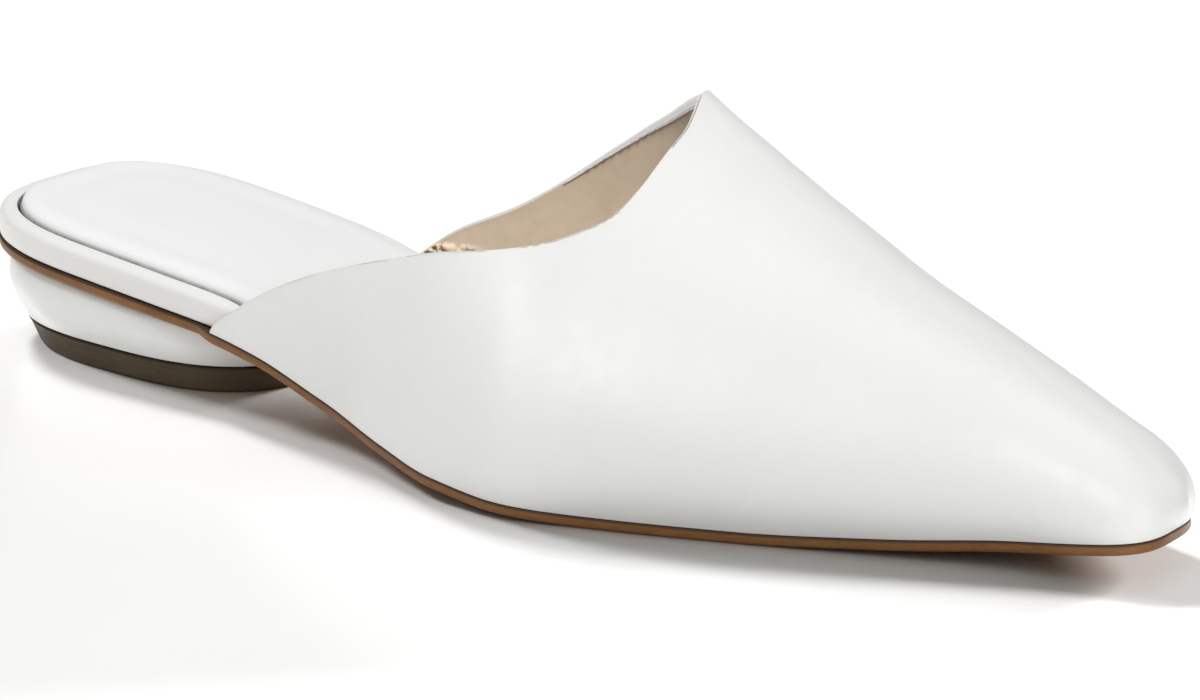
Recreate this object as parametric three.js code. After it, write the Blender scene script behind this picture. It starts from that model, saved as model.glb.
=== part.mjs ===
// A flat mule for the right foot: a backless, pointed slip-on with a low oval heel.
// Millimetres, +Z up. The toe points along +X and the little-toe side faces -Y.
// Every piece is a loft: closed rings of points, one at each station, joined in order.
import * as THREE from "three";
import { mergeVertices } from "three/addons/utils/BufferGeometryUtils.js";

// ---- Driving dimensions ----
const lastLength = 257.6; // along the feather line, where upper and sole meet
const heelRound = { depth: 34, power: 2.8 }; // the outline's ends are half superellipses
const toeRound = { depth: 7, power: 3.2 };
const wall = 1.6; // the upper's leather and lining together
const gap = 0.3; // between two pieces that touch
const soleThickness = 2.1;
const seatMargin = 0.2; // how far the sole's edge stands out past the rand
const foreMargin = 1.8; // and past the feather line, where it carries the upper
const soleChamfer = 0.3;
const insoleThickness = 2.6;

// The rand is the strip round the heel seat, skived thin where it runs under the upper.
const rand = { width: 3.1, height: 5.2, round: 1.7, roundShare: 0.6, chamfer: 0.3, skived: 0.8, end: 84 };
const seatEnd = { from: 86, to: 96 }; // where insole and sock widen to the feather line again

// The sock is the padded cover that the foot stands on. sockTop lists how far in from its edge a point
// lies and how far it rises over the rim; ahead of the seat the rise fades to the share flat.
const sock = { thickness: 2.1, rim: 0.5, foreInset: 1.6, flat: 0.4, fade: { from: 110, to: 150 } };
const sockTop = [
  { drawnIn: 1, rise: 1.2 },
  { drawnIn: 3.2, rise: 1.9 },
  { drawnIn: 8, rise: 1.8 },
  { drawnIn: 13, rise: 2.2 },
];

const cornerX = 68.5; // where the upper's rear edge meets the sole
const peakX = 155.7; // where its rear edge crosses the crest
const noseBulge = 3.2; // how far the toe's front stands out past its foot
const crestEnd = 244; // where the ribs round the toe run together
const toplineFade = 0.75; // the topline's shape has faded from the rows this share of the way to the toe
const heelTipHeight = 4.8;

// The last. outer and inner are the y of the feather line on the little-toe and the big-toe side,
// and rise is the height of the sole's underside over the floor.
const last = [
  { x: 0, outer: -26.9, inner: 26.9, rise: 18.7 },
  { x: 34, outer: -26.9, inner: 26.9, rise: 15.9 },
  { x: 55, outer: -26.9, inner: 26.2, rise: 14.2 },
  { x: 68, outer: -26.9, inner: 24.6, rise: 13.1 },
  { x: 80, outer: -27.1, inner: 22.8, rise: 11.2 },
  { x: 100, outer: -29.5, inner: 21.4, rise: 7.0 },
  { x: 120, outer: -35.0, inner: 24.0, rise: 3.8 },
  { x: 135, outer: -38.5, inner: 27.8, rise: 2.0 },
  { x: 147, outer: -38.8, inner: 31.0, rise: 0.9 },
  { x: 168, outer: -32.0, inner: 33.8, rise: 0 },
  { x: 190, outer: -22.7, inner: 32.4, rise: 0 },
  { x: 215, outer: -11.0, inner: 28.8, rise: 1.0 },
  { x: 235, outer: -2.1, inner: 25.0, rise: 2.8 },
  { x: 248, outer: 1.0, inner: 22.4, rise: 4.3 },
  { x: 262, outer: 3.6, inner: 19.6, rise: 6.6 },
];

// The upper's crest, the line along its top, carried on behind the topline. bulge is how far the side
// stands out past the feather line, and fullness squares the section off, from 2 for an ellipse.
const crest = [
  { x: 70, y: 2, z: 104, bulge: 0.6, fullness: 1.9 },
  { x: 100, y: 3, z: 95, bulge: 1.0, fullness: 1.9 },
  { x: 130, y: 5.8, z: 84, bulge: 1.6, fullness: 2.0 },
  { x: 157, y: 9, z: 66.8, bulge: 2.2, fullness: 1.85 },
  { x: 172, y: 9.6, z: 56.7, bulge: 2.2, fullness: 2.14 },
  { x: 186, y: 9.3, z: 49.5, bulge: 2.2, fullness: 2.25 },
  { x: 200, y: 9.6, z: 42.6, bulge: 2.0, fullness: 2.35 },
  { x: 220, y: 10.5, z: 34.7, bulge: 1.4, fullness: 2.5 },
  { x: 245, y: 11.6, z: 24.9, bulge: 0.8, fullness: 2.8 },
  { x: 262, y: 12, z: 19.3, bulge: 0.6, fullness: 2.9 },
];

// The topline, the upper's rear edge, as it climbs from the sole at share 0 to the crest at share 1.
const topline = [
  { share: 0, outer: 68.5, inner: 68.5 },
  { share: 0.1, outer: 83.3, inner: 83.2 },
  { share: 0.2, outer: 101.7, inner: 100.8 },
  { share: 0.3, outer: 125, inner: 115.8 },
  { share: 0.4, outer: 142.3, inner: 127.7 },
  { share: 0.5, outer: 153.1, inner: 136.5 },
  { share: 0.6, outer: 158.9, inner: 142.8 },
  { share: 0.7, outer: 160.2, inner: 148.1 },
  { share: 0.85, outer: 159.5, inner: 153.5 },
  { share: 1, outer: 155.7, inner: 155.7 },
];

// The heel's outline at each level, an oval from back to front. The tip runs from the floor to its own
// height, and the block from share 0 on the tip to share 1 under the sole.
const tipLevels = [
  { share: 0, back: 8.8, front: 71.6, half: 24.2 },
  { share: 1, back: 5.4, front: 72.2, half: 24.6 },
];
const blockLevels = [
  { share: 0, back: 4.8, front: 72.4, half: 24.8 },
  { share: 0.25, back: 2.6, front: 73.4, half: 25.7 },
  { share: 0.55, back: 1.3, front: 74, half: 26.2 },
  { share: 0.85, back: 1.5, front: 73.8, half: 25.9 },
  { share: 1, back: 2.8, front: 73, half: 25.0 },
];
const heelPower = 2.8;

// ---- Reading a table along a smooth curve that never overshoots its rows ----
function reader(rows, key) {
  const slopeAt = (column, i) => {
    const secant = (k) => (rows[k + 1][column] - rows[k][column]) / (rows[k + 1][key] - rows[k][key]);
    if (i === 0) return secant(0);
    if (i === rows.length - 1) return secant(i - 1);
    const [before, after] = [secant(i - 1), secant(i)];
    return before * after > 0 ? (2 * before * after) / (before + after) : 0;
  };
  return (column, at) => {
    const above = rows.findIndex((row, k) => k > 0 && at <= row[key]);
    const i = above < 0 ? rows.length - 2 : above - 1;
    const width = rows[i + 1][key] - rows[i][key];
    const t = THREE.MathUtils.clamp((at - rows[i][key]) / width, 0, 1);
    const [start, end] = [rows[i][column], rows[i + 1][column]];
    const [leave, arrive] = [slopeAt(column, i) * width, slopeAt(column, i + 1) * width];
    const bend = t * (1 - t) * ((leave - (end - start)) * (1 - t) - (arrive - (end - start)) * t);
    return start + (end - start) * t + bend;
  };
}
const lastAt = reader(last, "x");
const crestAt = reader(crest, "x");
const toplineAt = reader(topline, "share");

const { smoothstep, degToRad, lerp } = THREE.MathUtils;
const point = (x, y, z) => new THREE.Vector3(x, y, z);

// ---- The outline from above ----
const middle = (x) => (lastAt("outer", x) + lastAt("inner", x)) / 2;
const halfBreadth = (x) => (lastAt("inner", x) - lastAt("outer", x)) / 2;

// One place on the outline drawn in from the feather line by inset, on side -1 (outer) or 1 (inner).
function edgeY(station, side) {
  return middle(station.x) + side * (halfBreadth(station.x) - station.inset) * station.keep;
}

// A station inside a rounded end: turn runs from 0 at the end's tip to 90 where the sides take over.
function roundedStation(turn, round, inset, place) {
  const power = 2 / round.power;
  const along = Math.abs(Math.cos(degToRad(turn))) ** power;
  const across = Math.abs(Math.sin(degToRad(turn))) ** power;
  return { x: place(inset + (round.depth - inset) * (1 - along)), keep: across, inset };
}

const heelTurns = [4, 12, 22, 33, 45, 57, 70, 82];
const toeTurns = [80, 66, 52, 40, 28, 16, 6];
const bodySpacing = 6.6;

// The stations of a whole outline, heel to toe. insetAt says how far it is drawn in at each x.
function stations(insetAt) {
  const bodyStart = heelRound.depth;
  const bodyEnd = lastLength - toeRound.depth;
  const steps = Math.round((bodyEnd - bodyStart) / bodySpacing);
  const body = Array.from({ length: steps + 1 }, (_, i) => lerp(bodyStart, bodyEnd, i / steps));
  return [
    ...heelTurns.map((turn) => roundedStation(turn, heelRound, insetAt(0), (x) => x)),
    ...body.map((x) => ({ x, keep: 1, inset: insetAt(x) })),
    ...toeTurns.map((turn) => roundedStation(turn, toeRound, insetAt(lastLength), (x) => lastLength - x)),
  ];
}

// ---- Solids from rings ----
function solid(quads) {
  const positions = quads.flatMap(([a, b, c, d]) => [a, b, c, a, c, d]).flatMap((p) => p.toArray());
  const geometry = new THREE.BufferGeometry();
  geometry.setAttribute("position", new THREE.Float32BufferAttribute(positions, 3));
  const merged = mergeVertices(geometry, 1e-4);
  const corners = [...merged.index.array];
  const whole = [];
  for (let i = 0; i < corners.length; i += 3) {
    const [a, b, c] = corners.slice(i, i + 3);
    if (a !== b && b !== c && c !== a) whole.push(a, b, c);
  }
  merged.setIndex(whole);
  merged.computeVertexNormals();
  return merged;
}

// Rings run counterclockwise seen from the end that they run towards. An end is closed by rungs, so
// points j and last - j of a ring face each other.
function loft(rings) {
  const quads = [];
  const count = rings[0].length;
  for (let i = 0; i + 1 < rings.length; i++)
    for (let j = 0; j < count; j++) {
      const next = (j + 1) % count;
      quads.push([rings[i][j], rings[i][next], rings[i + 1][next], rings[i + 1][j]]);
    }
  const [start, end] = [rings[0], rings.at(-1)];
  for (let j = 0; j + 1 < count / 2; j++) {
    const facing = count - 1 - j;
    quads.push([start[j], start[facing], start[facing - 1], start[j + 1]]);
    quads.push([end[j], end[j + 1], end[facing - 1], end[facing]]);
  }
  return solid(quads);
}

const narrowest = 0.2; // share of the half breadth that a plate's inmost points keep

// A plate across the shoe. edge lists the points of its rim from the underside up, each drawn in from
// the plate's outline and at a height over the sole's underside.
function plate(insetAt, edge) {
  const rings = stations(insetAt).map((station) => {
    const sidePoints = (side) =>
      edge(station).map(({ drawnIn, height }) => {
        const half = Math.abs(edgeY(station, side) - middle(station.x));
        const y = middle(station.x) + side * Math.max(half - drawnIn, half * narrowest);
        return point(station.x, y, lastAt("rise", station.x) + height);
      });
    return [...sidePoints(1), ...sidePoints(-1).reverse()];
  });
  return loft(rings);
}

// ---- Sole, insole and sock ----
const marginAt = (x) => lerp(seatMargin, foreMargin, smoothstep(x, cornerX - 3, cornerX + 1));
const insoleBase = soleThickness + gap;
const randInsetAt = (x) => lerp(rand.width, rand.skived, smoothstep(x, cornerX + 2, rand.end));
const insoleInsetAt = (x) => (randInsetAt(x) + gap) * (1 - smoothstep(x, seatEnd.from, seatEnd.to));

const outsole = () =>
  plate(
    (x) => -marginAt(x),
    () => [
      { drawnIn: soleChamfer, height: 0 },
      { drawnIn: 0, height: soleChamfer },
      { drawnIn: 0, height: soleThickness - soleChamfer },
      { drawnIn: soleChamfer, height: soleThickness },
    ],
  );

const insole = () =>
  plate(insoleInsetAt, () => [
    { drawnIn: 0, height: insoleBase },
    { drawnIn: 0, height: insoleBase + insoleThickness },
  ]);

const sockInsetAt = (x) => Math.max(insoleInsetAt(x), sock.foreInset * smoothstep(x, cornerX, seatEnd.to));

function sockPad() {
  const base = insoleBase + insoleThickness + gap;
  return plate(sockInsetAt, ({ x }) => {
    const share = lerp(1, sock.flat, smoothstep(x, sock.fade.from, sock.fade.to));
    return [
      { drawnIn: 0, height: base },
      { drawnIn: 0, height: base + sock.thickness - sock.rim },
      ...sockTop.map(({ drawnIn, rise }) => ({ drawnIn, height: base + sock.thickness + rise * share })),
    ];
  });
}

// ---- Rand: a strip swept round the heel, from the outer corner to the inner one ----
const arcShare = 1 - Math.SQRT1_2; // how far in the middle of a quarter round lies, over its radius

function randStrip() {
  const [faces, backs] = [stations(() => 0), stations(randInsetAt)];
  const covered = faces.filter((station) => station.x <= rand.end).map((_, i) => i);
  const path = [...covered.map((i) => [i, 1]).reverse(), ...covered.map((i) => [i, -1])];
  const top = insoleBase + rand.height;
  const rings = path.map(([i, side]) => {
    const [face, back] = [faces[i], backs[i]].map((station) =>
      point(station.x, edgeY(station, side), lastAt("rise", station.x)),
    );
    const thickness = Math.hypot(face.x - back.x, face.y - back.y);
    const at = (depth, height) => face.clone().lerp(back, depth / thickness).add(point(0, 0, height));
    const round = Math.min(rand.round, thickness * rand.roundShare);
    return [
      at(0, insoleBase),
      at(thickness, insoleBase),
      at(thickness, top - rand.chamfer),
      at(round, top),
      at(round * arcShare, top - round * arcShare),
      at(0, top - round),
    ];
  });
  return loft(rings);
}

// ---- Upper ----
const rowCount = 38;
const ribSteps = 18;

// Where the rib of a row starts on the feather line and ends on the crest.
function rowStations(inset) {
  const rear = Array.from({ length: rowCount - toeTurns.length }, (_, i) => i);
  const bodyEnd = lastLength - toeRound.depth;
  const body = rear.map((i) => ({ x: lerp(cornerX, bodyEnd, i / (rear.length - 1)), keep: 1, inset }));
  const tip = [...toeTurns, 0].map((turn) => roundedStation(turn, toeRound, inset, (x) => lastLength - x));
  return [...body, ...tip];
}

// Bumps from 0 to 1 and back as t goes from 0 to 1: one highest halfway, the other a quarter of the way.
const hump = (t) => 4 * t * (1 - t);
const lowHump = (t) => (256 / 27) * t * (1 - t) ** 3;

// A point of the upper's surface. inset draws it in from the feather line, below zero outwards, and
// lowers the crest by the same amount; share climbs the rib from 0 at the sole to 1 at the crest.
function upperPoint(station, side, share) {
  const { inset } = station;
  const turn = degToRad(90 * share);
  const lean = (at) => 1 - Math.cos(turn) ** (2 / crestAt("fullness", at));
  const progress = THREE.MathUtils.clamp((station.x - cornerX) / (lastLength - cornerX), 0, 1);
  const crestX = lerp(peakX, crestEnd, progress);
  const cut = (toplineAt(side < 0 ? "outer" : "inner", share) - cornerX) / (peakX - cornerX);
  const climbed = lerp(cut, lean(station.x), smoothstep(progress, 0, toplineFade));
  const x = station.x + (crestX - station.x) * climbed;
  const edge = x > station.x ? { ...station, x } : station;
  const height = Math.sin(turn) ** (2 / crestAt("fullness", x));
  const base = lastAt("rise", edge.x) + insoleBase;
  const swell = crestAt("bulge", edge.x) * lowHump(height);
  const y = lerp(edgeY(edge, side) + side * swell * station.keep, crestAt("y", x), lean(x));
  const z = lerp(base, crestAt("z", x) - inset - gap - wall, height);
  return point(x + noseBulge * hump(height) * (1 - station.keep), y, z);
}

function upperSurface(inset) {
  return rowStations(inset).map((station) => {
    const shares = Array.from({ length: ribSteps + 1 }, (_, k) => k / ribSteps);
    const rib = (side) => shares.map((share) => upperPoint(station, side, share));
    return [...rib(-1), ...rib(1).reverse().slice(1)];
  });
}

function upperShell() {
  const [outside, inside] = [upperSurface(-gap - wall), upperSurface(-gap)];
  const quads = [];
  const [rows, columns] = [outside.length, outside[0].length];
  const patch = (a, b, c, d, outwards) => quads.push(outwards ? [a, b, c, d] : [d, c, b, a]);
  for (let i = 0; i + 1 < rows; i++) {
    for (let j = 0; j + 1 < columns; j++)
      for (const [grid, out] of [[outside, true], [inside, false]])
        patch(grid[i][j], grid[i + 1][j], grid[i + 1][j + 1], grid[i][j + 1], out);
    patch(outside[i][0], inside[i][0], inside[i + 1][0], outside[i + 1][0], true);
    patch(outside[i].at(-1), inside[i].at(-1), inside[i + 1].at(-1), outside[i + 1].at(-1), false);
  }
  for (let j = 0; j + 1 < columns; j++)
    patch(outside[0][j], outside[0][j + 1], inside[0][j + 1], inside[0][j], true);
  return solid(quads);
}

// ---- Heel ----
const ovalSteps = 48;

function oval(level, heightAt) {
  const { back, front, half } = level;
  return Array.from({ length: ovalSteps }, (_, j) => {
    const angle = ((j + 0.5) / ovalSteps) * 2 * Math.PI;
    const swing = (v) => Math.sign(v) * Math.abs(v) ** (2 / heelPower);
    const x = (back + front) / 2 + ((front - back) / 2) * swing(Math.cos(angle));
    return point(x, half * swing(Math.sin(angle)), heightAt(x));
  });
}

const heelTip = () => loft(tipLevels.map((level) => oval(level, () => level.share * heelTipHeight)));

function heelBlock() {
  const base = heelTipHeight + gap;
  const top = (x) => lastAt("rise", x) - gap;
  return loft(blockLevels.map((level) => oval(level, (x) => lerp(base, top(x), level.share))));
}

// ---- Assembly ----
function piece(name, geometry, color, roughness) {
  const mesh = new THREE.Mesh(geometry, new THREE.MeshStandardMaterial({ color, roughness, metalness: 0 }));
  mesh.name = name;
  return mesh;
}

const mule = new THREE.Group();
mule.add(
  piece("outsole", outsole(), 0x8a5a3a, 0.55),
  piece("insole", insole(), 0xcdb79a, 0.8),
  piece("sock_pad", sockPad(), 0xf1f1f2, 0.5),
  piece("rand", randStrip(), 0xeeeeec, 0.45),
  piece("upper", upperShell(), 0xf0f0ee, 0.45),
  piece("heel_block", heelBlock(), 0xe9eae8, 0.4),
  piece("heel_tip", heelTip(), 0x4a3a2a, 0.6),
);

// The origin is on the floor, under the middle of the shoe's own box.
const box = new THREE.Box3().setFromObject(mule);
const centre = box.getCenter(new THREE.Vector3());
mule.position.set(-centre.x, -centre.y, -box.min.z);

export default mule;
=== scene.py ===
import math

import bmesh
import bpy
import numpy as np
from mathutils import Matrix, Vector


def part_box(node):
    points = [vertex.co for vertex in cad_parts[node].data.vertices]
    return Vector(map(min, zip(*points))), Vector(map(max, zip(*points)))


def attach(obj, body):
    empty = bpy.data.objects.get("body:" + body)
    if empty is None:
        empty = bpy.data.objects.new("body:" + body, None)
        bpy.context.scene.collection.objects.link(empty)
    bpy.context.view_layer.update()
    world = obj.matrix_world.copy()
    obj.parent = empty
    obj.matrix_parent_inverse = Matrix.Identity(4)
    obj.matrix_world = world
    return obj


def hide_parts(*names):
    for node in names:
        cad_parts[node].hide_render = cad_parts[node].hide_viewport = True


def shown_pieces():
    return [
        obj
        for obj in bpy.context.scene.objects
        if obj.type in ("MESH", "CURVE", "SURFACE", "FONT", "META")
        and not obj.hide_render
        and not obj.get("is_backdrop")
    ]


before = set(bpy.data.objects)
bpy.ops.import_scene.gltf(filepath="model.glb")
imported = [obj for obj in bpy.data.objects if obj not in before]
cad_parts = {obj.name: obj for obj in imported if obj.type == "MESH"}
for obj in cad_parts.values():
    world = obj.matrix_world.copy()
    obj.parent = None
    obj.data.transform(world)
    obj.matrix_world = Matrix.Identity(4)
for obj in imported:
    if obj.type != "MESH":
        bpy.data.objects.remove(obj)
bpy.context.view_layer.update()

# A flat mule for the right foot: smooth white leather on a pointed last, over a low wrapped heel.
# Sizes in the dictionaries are millimetres on the last: x from the heel, y across, z over the floor.
# +X points to the toe and the little-toe side faces -Y.
mm = 0.001
print("frame loaded")

lastShape = {
    "length": 257.6,  # along the feather line, where upper and sole meet
    "heelRound": (34, 2.8),  # depth of the rounded end, and its power as a superellipse
    "toeRound": (7, 3.2),
    "toeSlant": 0.9,  # the tip reaches further forward on the outer side
    "cornerX": 68.5,  # where the topline meets the sole
    "peakX": 155.7,  # where it crosses the crest
    "crestEnd": 244,  # where the ribs round the toe run together
    "noseBulge": 3.2,
    "toplineFade": 0.75,  # the topline's shape has faded this share of the way to the toe
    "soleThickness": 2.1,
    "upperBase": 2.4,  # the upper's lower edge over the sole's underside
    "wall": 1.9,  # outside of the leather, out from the feather line
    # x, feather line on the outer side, on the inner side, height of the sole's underside
    "stations": [
        (0, -26.9, 26.9, 18.7), (34, -26.9, 26.9, 15.9), (55, -26.9, 26.2, 14.2),
        (68, -26.9, 24.6, 13.1), (80, -27.1, 22.8, 11.2), (100, -29.5, 21.4, 7.0),
        (120, -35.0, 24.0, 3.8), (135, -38.5, 27.8, 2.0), (147, -38.8, 31.0, 0.9),
        (168, -32.0, 33.8, 0), (190, -22.7, 32.4, 0), (215, -11.0, 28.8, 1.0),
        (235, -2.1, 25.0, 2.8), (248, 1.0, 22.4, 4.3), (262, 3.6, 19.6, 6.6),
    ],
    # x, y, z, bulge of the side, fullness of the section
    "crest": [
        (70, 2, 104, 0.6, 1.9), (100, 3, 95, 1.0, 1.9), (130, 5.8, 84, 1.6, 2.0),
        (157, 9, 66.8, 2.2, 1.85), (172, 9.6, 56.7, 2.2, 2.14), (186, 9.3, 49.5, 2.2, 2.25),
        (200, 9.6, 42.6, 2.0, 2.35), (220, 10.5, 34.7, 1.4, 2.5), (245, 11.6, 24.9, 0.8, 2.8),
        (262, 12, 19.3, 0.6, 2.9),
    ],
    # share of the climb from the sole to the crest, x on the outer side, on the inner side
    "topline": [
        (0, 68.5, 68.5), (0.1, 83.3, 83.2), (0.2, 101.7, 100.8), (0.3, 125, 115.8),
        (0.4, 142.3, 127.7), (0.5, 153.1, 136.5), (0.6, 158.9, 142.8), (0.7, 160.2, 148.1),
        (0.85, 159.5, 153.5), (1, 155.7, 155.7),
    ],
}


cornerX, peakX = lastShape["cornerX"], lastShape["peakX"]


def smoothTable(rows):
    # reads a column of the rows along a curve that never overshoots them
    data = np.array(rows, float)
    places = data[:, 0]
    secants = np.diff(data, axis=0) / np.diff(places)[:, None]
    product = secants[:-1] * secants[1:]
    total = secants[:-1] + secants[1:]
    inner = np.where(product > 0, 2 * product / np.where(product > 0, total, 1), 0)
    slopes = np.vstack([secants[:1], inner, secants[-1:]])

    def read(column, at):
        i = np.clip(np.searchsorted(places, at) - 1, 0, len(places) - 2)
        width = places[i + 1] - places[i]
        t = np.clip((at - places[i]) / width, 0, 1)
        start = data[i, column]
        rise = data[i + 1, column] - start
        leave = slopes[i, column] * width - rise
        arrive = slopes[i + 1, column] * width - rise
        return start + rise * t + t * (1 - t) * (leave * (1 - t) - arrive * t)

    return read


lastAt = smoothTable(lastShape["stations"])
crestAt = smoothTable(lastShape["crest"])
toplineAt = smoothTable(lastShape["topline"])

# the upper's rear corner and the heel tip's middle say where the last stands in the frame
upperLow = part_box("upper")[0]
tipLow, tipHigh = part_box("heel_tip")
origin = np.array([upperLow.x - cornerX * mm, (tipLow.y + tipHigh.y) / 2, 0])


def toFrame(points):
    return np.asarray(points, float) * mm + origin


def smoothStep(x, low, high):
    t = np.clip((x - low) / (high - low), 0, 1)
    return t * t * (3 - 2 * t)


def blendTo(a, b, t):
    return a + (b - a) * t


def hump(t):
    # 0 at both ends and 1 halfway
    return 4 * t * (1 - t)


def lowHump(t):
    # the same with its peak a quarter of the way
    return (256 / 27) * t * (1 - t) ** 3


def riseAt(x):
    return lastAt(3, x)


def middleAt(x):
    return (lastAt(1, x) + lastAt(2, x)) / 2


def halfAt(x):
    return (lastAt(2, x) - lastAt(1, x)) / 2


def placeObject(name, data):
    piece = bpy.data.objects.new(name, data)
    bpy.context.scene.collection.objects.link(piece)
    return piece


def meshFromGrids(name, grids):
    # each grid is rows of points with a fourth number, the edge shade tone, which the materials read:
    # mostly painted shade where parts meet, with some darker cut edges
    bm = bmesh.new()
    tone = bm.verts.layers.float.new("edgeShade")
    for grid in grids:
        rows = []
        for line in grid:
            corners = []
            for x, y, z, shade in line:
                corner = bm.verts.new((x, y, z))
                corner[tone] = shade
                corners.append(corner)
            rows.append(corners)
        for near, far in zip(rows, rows[1:]):
            for k in range(len(near) - 1):
                bm.faces.new((near[k], near[k + 1], far[k + 1], far[k]))
    bmesh.ops.remove_doubles(bm, verts=bm.verts, dist=2e-6)
    bmesh.ops.recalc_face_normals(bm, faces=bm.faces)
    mesh = bpy.data.meshes.new(name)
    bm.to_mesh(mesh)
    bm.free()
    mesh.shade_smooth()
    return placeObject(name, mesh)


def toned(points, tone=0.0):
    # points in millimetres on the last, turned into frame metres with an edge shade tone beside them
    points = toFrame(points)
    shade = np.broadcast_to(tone, points.shape[:-1])[..., None]
    return np.concatenate([points, shade], axis=-1)


def finishPiece(piece, material, replaced=()):
    piece.data.materials.clear()
    piece.data.materials.append(material)
    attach(piece, "root")
    if replaced:
        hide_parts(*replaced)
    print("made", piece.name, len(piece.data.polygons))
    return piece


def newMaterial(name, sockets):
    material = bpy.data.materials.new(name)
    material.use_nodes = True
    tree = material.node_tree
    tree.nodes.clear()
    output = tree.nodes.new("ShaderNodeOutputMaterial")
    shader = tree.nodes.new("ShaderNodeBsdfPrincipled")
    tree.links.new(shader.outputs["BSDF"], output.inputs["Surface"])
    for socket, value in sockets.items():
        shader.inputs[socket].default_value = value
    place = tree.nodes.new("ShaderNodeTexCoord").outputs["Object"]
    return material, tree, shader, place


def setSocket(tree, node, socket, value):
    if isinstance(value, bpy.types.NodeSocket):
        tree.links.new(value, node.inputs[socket])
    else:
        node.inputs[socket].default_value = value


def addNode(tree, kind, inputs=None, **settings):
    node = tree.nodes.new(kind)
    for setting, value in settings.items():
        setattr(node, setting, value)
    for socket, value in (inputs or {}).items():
        setSocket(tree, node, socket, value)
    return node


def addNoise(tree, place, size, detail=3.0, roughness=0.55):
    sockets = {"Vector": place, "Scale": 1 / (size * mm), "Detail": detail, "Roughness": roughness}
    return addNode(tree, "ShaderNodeTexNoise", sockets).outputs["Fac"]


def addRange(tree, value, low, high, toLow=0, toHigh=1):
    sockets = {"Value": value, "From Min": low, "From Max": high, "To Min": toLow, "To Max": toHigh}
    return addNode(tree, "ShaderNodeMapRange", sockets).outputs["Result"]


def addMix(tree, amount, first, second):
    node = addNode(tree, "ShaderNodeMix", {0: amount}, data_type="RGBA")
    for socket, value in ((6, first), (7, second)):
        setSocket(tree, node, socket, (*value, 1) if isinstance(value, tuple) else value)
    return node.outputs[2]


def addTimes(tree, first, second):
    return addNode(tree, "ShaderNodeMath", {0: first, 1: second}, operation="MULTIPLY").outputs[0]


def addSum(tree, first, second):
    return addNode(tree, "ShaderNodeMath", {0: first, 1: second}, operation="ADD").outputs[0]


def stretch(tree, place, scale):
    return addNode(tree, "ShaderNodeMapping", {"Vector": place, "Scale": scale}).outputs["Vector"]


def finishShader(tree, shader, colour, height, strength, depth, roughness):
    # the last links of a material: its colour, its relief and its roughness
    sockets = {"Height": height, "Strength": strength, "Distance": depth * mm}
    normal = addNode(tree, "ShaderNodeBump", sockets).outputs["Normal"]
    for socket, value in (("Base Color", colour), ("Normal", normal), ("Roughness", roughness)):
        tree.links.new(value, shader.inputs[socket])


def leatherMaterial(name, look):
    sockets = {
        "Specular IOR Level": look["specular"],
        "Coat Weight": look["coat"],
        "Coat Roughness": look["coatRoughness"],
        "Sheen Weight": look["sheen"],
        "Sheen Roughness": 0.5,
    }
    material, tree, shader, place = newMaterial(name, sockets)
    size = look["grainSize"]
    # broad uneven tone, then the faint mottling between the pores
    clouds = addNoise(tree, place, look["cloudSize"], 2.0)
    mottle = addNoise(tree, place, size * 5, 4.0)
    colour = addMix(tree, addRange(tree, clouds, 0.3, 0.7), look["colour"], look["cloudColour"])
    speckle = addRange(tree, mottle, 0.35, 0.75, 0, look["mottling"])
    colour = addMix(tree, speckle, colour, look["poreColour"])
    # the edge shade tone darkens towards the edge shade colour: painted shade along the sole, in grooves
    # and gathers and where parts meet, and a darker cream at folded and cut edges; the mottling makes it
    # uneven
    edge = addNode(tree, "ShaderNodeAttribute", attribute_name="edgeShade").outputs["Fac"]
    raggedShade = addTimes(tree, edge, addRange(tree, mottle, 0.2, 0.8, 0.75, 1.2))
    colour = addMix(tree, raggedShade, colour, look["edgeShadeColour"])
    # pebbled grain: warped cells pressed a little into a soft uneven face, with pores
    warp = addNode(tree, "ShaderNodeTexNoise", {"Vector": place, "Scale": 1 / (size * 3 * mm)})
    sockets = {0: warp.outputs["Color"], 1: (look["warp"] * mm,) * 3}
    shift = addNode(tree, "ShaderNodeVectorMath", sockets, operation="MULTIPLY").outputs[0]
    warped = addNode(tree, "ShaderNodeVectorMath", {0: place, 1: shift}, operation="ADD").outputs[0]
    sockets = {"Vector": warped, "Scale": 1 / (size * mm)}
    cells = addNode(tree, "ShaderNodeTexVoronoi", sockets, feature="SMOOTH_F1").outputs["Distance"]
    sockets = {"Vector": place, "Scale": 1 / (look["poreSpacing"] * mm)}
    pores = addNode(tree, "ShaderNodeTexVoronoi", sockets).outputs["Distance"]
    layers = (cells, addRange(tree, pores, 0.05, 0.22), addNoise(tree, place, size * 9, 3.0))
    cells, pores, folds = (addTimes(tree, *pair) for pair in zip(layers, look["grainMix"]))
    height = addSum(tree, addSum(tree, cells, pores), folds)
    roughness = addRange(tree, mottle, 0.3, 0.7, *look["roughness"])
    finishShader(tree, shader, colour, height, look["grainStrength"], look["grainHeight"], roughness)
    return material


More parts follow.
